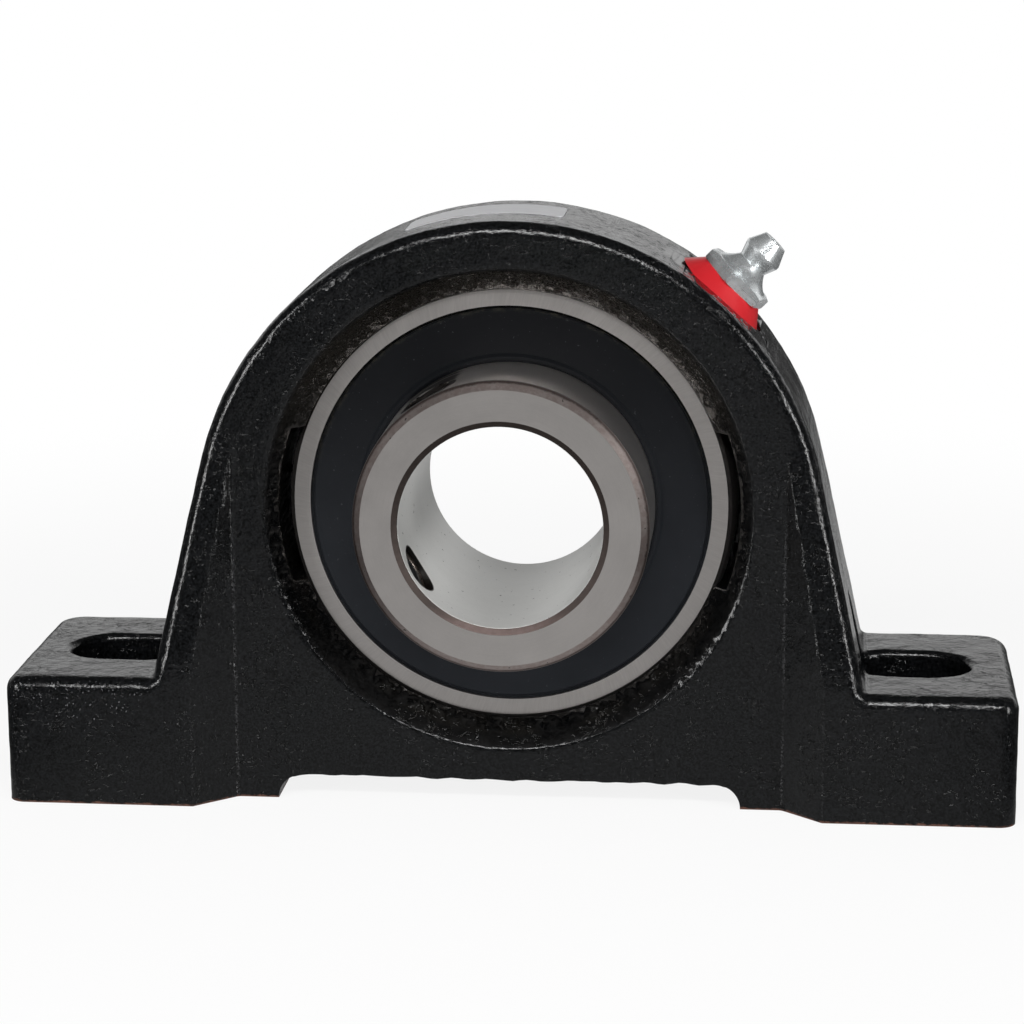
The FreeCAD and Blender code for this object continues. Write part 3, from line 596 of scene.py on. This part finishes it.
class BEARING_OT_stage(bpy.types.Operator):
    """Camera, lamps, white surroundings and floor"""
    bl_idname = "bearing.stage"
    bl_label = "Stage"

    def execute(self, context):
        stage = context.scene.bearing_stage
        scene = context.scene
        scene.view_settings.view_transform = "Standard"
        yaw, pitch, roll = stage.camera_turn
        turn = (Matrix.Rotation(yaw, 3, "Z") @ Matrix.Rotation(pitch, 3, "X")
                @ Matrix.Rotation(roll, 3, "Y") @ Matrix.Rotation(math.pi / 2, 3, "X"))
        bpy.ops.object.camera_add(location=stage.camera_place, rotation=turn.to_euler())
        camera = context.object
        camera.name = "camera"
        camera.data.lens = stage.lens
        camera.data.sensor_width = 36
        scene.camera = camera

        self.surroundings(stage)
        self.lamps(stage)
        self.floor(stage)
        return {"FINISHED"}

    def rays(self, made):
        """1 for a camera or transmission ray, and 1 for a glossy ray."""
        camera = made.node("ShaderNodeLightPath", {}, {}, "Is Camera Ray")
        outputs = camera.socket.node.outputs
        through = Value(made, outputs["Is Transmission Ray"])
        return made.larger(camera, through), Value(made, outputs["Is Glossy Ray"])

    def surroundings(self, stage):
        """White to the camera; to gloss, white low behind the object and dark elsewhere."""
        world = bpy.data.worlds.new("surroundings")
        world.use_nodes = True
        bpy.context.scene.world = world
        room = Finish(world)
        seen, glossy = self.rays(room)
        _, y, z = room.split(room.node("ShaderNodeTexCoord", {}, {}, "Generated"))
        behind = room.step(y, 0.2, 0.75) * room.step(z, 0.62, 0.15) * room.step(z, 0.02, 0.12)
        mirrored = behind * (1 - stage.dark_in_gloss) + stage.dark_in_gloss
        soft = (1 - glossy) * stage.room_light
        level = room.larger(seen, glossy * mirrored + soft)
        background = room.node("ShaderNodeBackground", {}, {0: (1, 1, 1, 1), 1: level})
        room.node("ShaderNodeOutputWorld", {}, {0: background})

    def lamps(self, stage):
        """One strip lamp above and one on each side, all in front of the object."""
        aim = Vector((0, 0, shaft_height))
        for name, place, wide, high in (
                ("lamp_above", (0.0, -0.46, 0.38), 0.4, 0.07),
                ("lamp_left", (-0.46, -0.38, 0.10), 0.05, 0.35),
                ("lamp_right", (0.48, -0.34, 0.12), 0.05, 0.35)):
            place = Vector(place) + aim
            turn = (place - aim).to_track_quat("Z", "Y").to_euler()
            bpy.ops.object.light_add(type="AREA", location=place, rotation=turn)
            lamp = bpy.context.object
            lamp.name = name
            lamp.visible_camera = False
            lamp.data.shape = "RECTANGLE"
            lamp.data.size = wide
            lamp.data.size_y = high
            lamp.data.energy = stage.lamp_glow * math.pi * wide * high

    def floor(self, stage):
        """Pale floor: it takes the shadow near the object and is white further off."""
        bpy.ops.mesh.primitive_plane_add(size=8.0, location=(0, 0, -0.02 * MM))
        floor = bpy.context.object
        floor.name = "floor"
        bpy.ops.object.transform_apply(location=True, rotation=True, scale=True)
        ground = Finish("floor")
        seen, glossy = self.rays(ground)
        place = ground.place()
        x, y, _ = ground.split(place)
        distance = ground.node("ShaderNodeVectorMath", {"operation": "LENGTH"}, {0: place}, 1)
        whiteness = ground.step(distance, 0.10, 0.32) * 0.14 + 0.86
        strip = ground.near(x, 0.0, 0.11, 0.06)
        rear = ground.step(y, 0.02, 0.06) * (stage.behind_in_gloss - stage.floor_in_gloss)
        lit = rear + (stage.floor_in_gloss - stage.dark_in_gloss)
        mirrored = strip * lit + stage.dark_in_gloss
        diffuse = ground.node("ShaderNodeBsdfDiffuse", {}, {0: (0.9, 0.9, 0.9, 1)})
        glow = ground.node("ShaderNodeEmission", {}, {
            0: (1, 1, 1, 1), 1: seen + glossy * mirrored})
        mixed = ground.node("ShaderNodeMixShader", {}, {
            0: seen * whiteness + glossy, 1: diffuse, 2: glow})
        ground.node("ShaderNodeOutputMaterial", {}, {"Surface": mixed})
        dress(floor, ground.material)


class BEARING_OT_cast_housing(bpy.types.Operator):
    """Cast housing with a rough painted skin"""
    bl_idname = "bearing.cast_housing"
    bl_label = "Cast housing"

    def execute(self, context):
        recess_reach, recess_limit = 35 * MM, 6 * MM
        crease_angle = math.radians(32)
        casting = context.scene.bearing_casting
        piece = copy_of("housing", "cast_housing")
        recess_top = max(vertex.co.z for vertex in piece.data.vertices
                         if abs(vertex.co.x) < recess_reach and vertex.co.z < recess_limit)
        self.cut_grid(piece, casting.grid * (1.0))
        self.roughen(piece, casting, recess_top)
        pick(piece)
        bpy.ops.object.shade_smooth_by_angle(angle=crease_angle)
        dress(piece, painted_casting(casting))
        stand_for(piece, "housing", "housing_body")
        return {"FINISHED"}

    def cut_grid(self, piece, spacing):
        """Cut the mesh along planes across X, Y and Z, so that each face is small."""
        first_cut = 0.63    # as a share of the spacing, so that no cut runs along a flat face
        pick(piece)
        bpy.ops.object.mode_set(mode="EDIT")
        for axis in range(3):
            direction = [0.0, 0.0, 0.0]
            direction[axis] = 1.0
            low = housing_low[axis]
            count = int((housing_high[axis] - low) / spacing)
            for index in range(count):
                place = [0.0, 0.0, 0.0]
                place[axis] = low + (index + first_cut) * spacing
                bpy.ops.mesh.select_all(action="SELECT")
                bpy.ops.mesh.bisect(plane_co=place, plane_no=direction)
        bpy.ops.mesh.select_all(action="SELECT")
        bpy.ops.mesh.remove_doubles(threshold=0.01 * MM)
        bpy.ops.object.mode_set(mode="OBJECT")

    def roughen(self, piece, casting, recess_top):
        """Move the skin in and out, but not the seat, the spot face or the ground undersides."""
        mesh = piece.data
        normals = [vertex.normal.copy() for vertex in mesh.vertices]
        shaft_centre = Vector((0, 0, shaft_height))
        seat_reach = (insert_high.x - insert_low.x) / 2 + 3 * MM
        spot_reach = 12.5 * MM
        recess_edge = 12 * MM
        for vertex, normal in zip(mesh.vertices, normals):
            place = vertex.co
            keep = fade((place - shaft_centre).length, seat_reach, 2.5 * MM) \
                * fade(place.z, 0.05 * MM, 0.8 * MM) \
                * fade((place - collar_centre).length, spot_reach, 2.5 * MM)
            if keep <= 0:
                continue
            waves = noise.noise(place / casting.wave_size) * casting.wave_height
            grain = noise.noise(place / casting.grain_size) * casting.grain_height
            vertex.co = place + normal * ((waves + grain) * keep)
            if abs(place.z - recess_top) < 0.3 * MM and abs(place.y) > recess_edge:
                ragged = noise.noise(Vector((place.x / (2.6 * MM), place.y / (9 * MM), 4.0)))
                vertex.co.z += ragged * casting.flash_height
        mesh.update()


class BEARING_OT_rings(bpy.types.Operator):
    """Finishes of the rings, balls, cage and seals"""
    bl_idname = "bearing.rings"
    bl_label = "Rings and seals"

    def execute(self, context):
        steel = context.scene.bearing_steel
        plastics = context.scene.bearing_plastics
        nodes = frame["nodes"]
        ring = ring_steel(steel)
        rubber = seal_rubber(plastics)
        cage = plain_metal("cage_steel", steel.cage, 0.3, 0.4 * MM, 0.004 * MM)
        ball = plain_metal("ball_steel", steel.ball, 0.06, 0.4 * MM, 0.0004 * MM)
        for name, node in nodes.items():
            if name.startswith("ball_"):
                dress(node, ball)
            elif name.startswith("cage_") or name.endswith("_core"):
                dress(node, cage)
            elif name.endswith("_rubber"):
                dress(node, rubber)
            elif name in ("inner_ring", "outer_ring"):
                dress(node, ring)
        return {"FINISHED"}


class BEARING_OT_small_parts(bpy.types.Operator):
    """Finishes of the grease fitting, its collar and the label"""
    bl_idname = "bearing.small_parts"
    bl_label = "Small parts"

    def execute(self, context):
        steel = context.scene.bearing_steel
        plastics = context.scene.bearing_plastics
        valve = plain_metal("fitting_ball_steel", steel.valve, 0.1, 0.3 * MM, 0.001 * MM)
        finishes = {
            "grease_fitting_body": zinc_plate(steel),
            "grease_fitting_ball": valve,
            "grease_fitting_spring": valve,
            "fitting_collar": collar_plastic(plastics),
            "crown_label": label_foil(plastics),
        }
        for name, material in finishes.items():
            dress(frame["nodes"][name], material)
        return {"FINISHED"}


def ridge(name, root, crest, low, high, threads):
    """Helical thread ridge about Z, its root flat on one radius and its crest on another."""
    root_half, crest_half = 0.42, 0.12      # half widths as shares of the pitch
    bpy.ops.object.select_all(action="DESELECT")
    bpy.ops.mesh.primitive_plane_add(size=threads.pitch)
    piece = bpy.context.object
    piece.name = name
    corners = ((root, -root_half), (root, root_half), (crest, crest_half), (crest, -crest_half))
    for vertex, index in zip(piece.data.vertices, (0, 1, 3, 2)):
        radius, along = corners[index]
        vertex.co = (radius, 0.0, low + (along + 0.5) * threads.pitch)
    bpy.ops.object.mode_set(mode="EDIT")
    bpy.ops.mesh.select_all(action="SELECT")
    bpy.ops.mesh.delete(type="ONLY_FACE")
    bpy.ops.object.mode_set(mode="OBJECT")
    turns = (high - low) / threads.pitch - 1
    sweep = piece.modifiers.new("turns", "SCREW")
    sweep.angle = turns * math.tau
    sweep.screw_offset = turns * threads.pitch
    sweep.iterations = 1
    sweep.steps = int(turns * threads.steps)
    sweep.render_steps = sweep.steps
    apply_modifiers(piece)
    bpy.ops.object.mode_set(mode="EDIT")
    bpy.ops.mesh.select_all(action="SELECT")
    bpy.ops.mesh.fill_holes(sides=4)
    bpy.ops.mesh.select_all(action="SELECT")
    bpy.ops.mesh.normals_make_consistent(inside=False)
    bpy.ops.object.mode_set(mode="OBJECT")
    return piece


def lay_along(piece, axis, centre_y):
    """Turn a piece built along Z into a hole that runs out from the shaft, and fix its place."""
    pick(piece)
    piece.rotation_euler = Vector(axis).to_track_quat("Z", "Y").to_euler()
    piece.location = (0.0, centre_y, shaft_height)
    bpy.ops.object.transform_apply(location=True, rotation=True, scale=True)


class BEARING_OT_threads(bpy.types.Operator):
    """Threaded set-screw holes and screws, with sockets and cup points"""
    bl_idname = "bearing.threads"
    bl_label = "Threads"

    def execute(self, context):
        sunk, bore_gap, edge_gap = 0.02 * MM, 0.1 * MM, 0.4 * MM
        threads = context.scene.bearing_threads
        steel = context.scene.bearing_steel
        oxide = plain_metal("black_oxide", steel.oxide, 0.3, 0.3 * MM, 0.006 * MM)
        # Threads of the holes in darker steel, as painted shade inside the holes
        shaded = plain_metal("oiled_thread", steel.thread, 0.22, 0.5 * MM, 0.008 * MM)
        for number, (axis, centre_y) in enumerate(screw_axes(), 1):
            node = "set_screw_%d" % number
            hole = ridge("screw_hole_thread_%d" % number, threads.hole_radius + sunk,
                         threads.hole_radius - threads.depth, bore_radius + bore_gap,
                         nose_radius - edge_gap, threads)
            lay_along(hole, axis, centre_y)
            dress(hole, shaded)
            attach(hole, "inner_ring_body")
            ends = [(vertex.co - Vector((0, centre_y, shaft_height))).dot(axis)
                    for vertex in frame["nodes"][node].data.vertices]
            screw = self.screw(number, min(ends), max(ends), threads)
            lay_along(screw, axis, centre_y)
            dress(screw, oxide)
            stand_for(screw, node, node + "_body")
        return {"FINISHED"}

    def screw(self, number, low, high, threads):
        """Threaded screw about Z from its cup point up to its socket."""
        overlap, point_gap, top_gap = 0.03 * MM, 0.25 * MM, 0.1 * MM
        crest = threads.hole_radius - threads.depth - threads.screw_gap
        root = crest - threads.screw_depth
        bpy.ops.object.select_all(action="DESELECT")
        bpy.ops.mesh.primitive_cylinder_add(
            vertices=60, radius=root + overlap, depth=high - low,
            location=(0, 0, (low + high) / 2))
        body = bpy.context.object
        body.name = "set_screw_threaded_%d" % number
        bpy.ops.object.transform_apply(location=True, rotation=True, scale=True)
        self.hollow_point(body, low, threads)
        bpy.ops.object.select_all(action="DESELECT")
        bpy.ops.mesh.primitive_cylinder_add(
            vertices=6, radius=threads.key_flats / math.sqrt(3), depth=2 * threads.key_depth,
            location=(0, 0, high))
        key = bpy.context.object
        cut = body.modifiers.new("socket", "BOOLEAN")
        cut.operation = "DIFFERENCE"
        cut.object = key
        apply_modifiers(body)
        bpy.data.objects.remove(key)
        worm = ridge("screw_thread_%d" % number, root, crest, low + point_gap, high - top_gap,
                     threads)
        pick(body)
        worm.select_set(True)
        bpy.ops.object.join()
        return body

    def hollow_point(self, body, low, threads):
        """Inset the point's face and push it in to make the cup."""
        land = 1.0 * MM
        pick(body)
        bpy.ops.object.mode_set(mode="EDIT")
        bpy.ops.mesh.select_all(action="DESELECT")
        bpy.ops.object.mode_set(mode="OBJECT")
        for face in body.data.polygons:
            face.select = face.center.z < low + 0.01 * MM
        bpy.ops.object.mode_set(mode="EDIT")
        bpy.ops.mesh.inset(thickness=land)
        bpy.ops.mesh.inset(thickness=land, depth=-threads.cup_depth)
        bpy.ops.object.mode_set(mode="OBJECT")


class BEARING_PT_panel(bpy.types.Panel):
    """Sizes and pieces of the bearing"""
    bl_idname = "BEARING_PT_panel"
    bl_label = "Pillow Block Bearing"
    bl_space_type = "VIEW_3D"
    bl_region_type = "UI"
    bl_category = "Bearing"

    def draw(self, context):
        for name, group in groups.items():
            box = self.layout.box()
            box.label(text=name[len("bearing_"):].capitalize())
            for key in group.__annotations__:
                box.prop(getattr(context.scene, name), key)
        for operator in operators:
            self.layout.operator(operator.bl_idname)


groups = {
    "bearing_casting": BearingCasting,
    "bearing_steel": BearingSteel,
    "bearing_plastics": BearingPlastics,
    "bearing_threads": BearingThreads,
    "bearing_stage": BearingStage,
}
operators = (
    BEARING_OT_stage,
    BEARING_OT_cast_housing,
    BEARING_OT_rings,
    BEARING_OT_small_parts,
    BEARING_OT_threads,
)


def register():
    for name, group in groups.items():
        bpy.utils.register_class(group)
        setattr(bpy.types.Scene, name, PointerProperty(type=group))
    for operator in operators:
        bpy.utils.register_class(operator)
    bpy.utils.register_class(BEARING_PT_panel)


def unregister():
    bpy.utils.unregister_class(BEARING_PT_panel)
    for operator in reversed(operators):
        bpy.utils.unregister_class(operator)
    for name, group in groups.items():
        delattr(bpy.types.Scene, name)
        bpy.utils.unregister_class(group)


def main():
    register()
    bpy.ops.bearing.stage()
    bpy.ops.bearing.cast_housing()
    bpy.ops.bearing.rings()
    bpy.ops.bearing.small_parts()
    bpy.ops.bearing.threads()


if __name__ == "__main__":
    main()
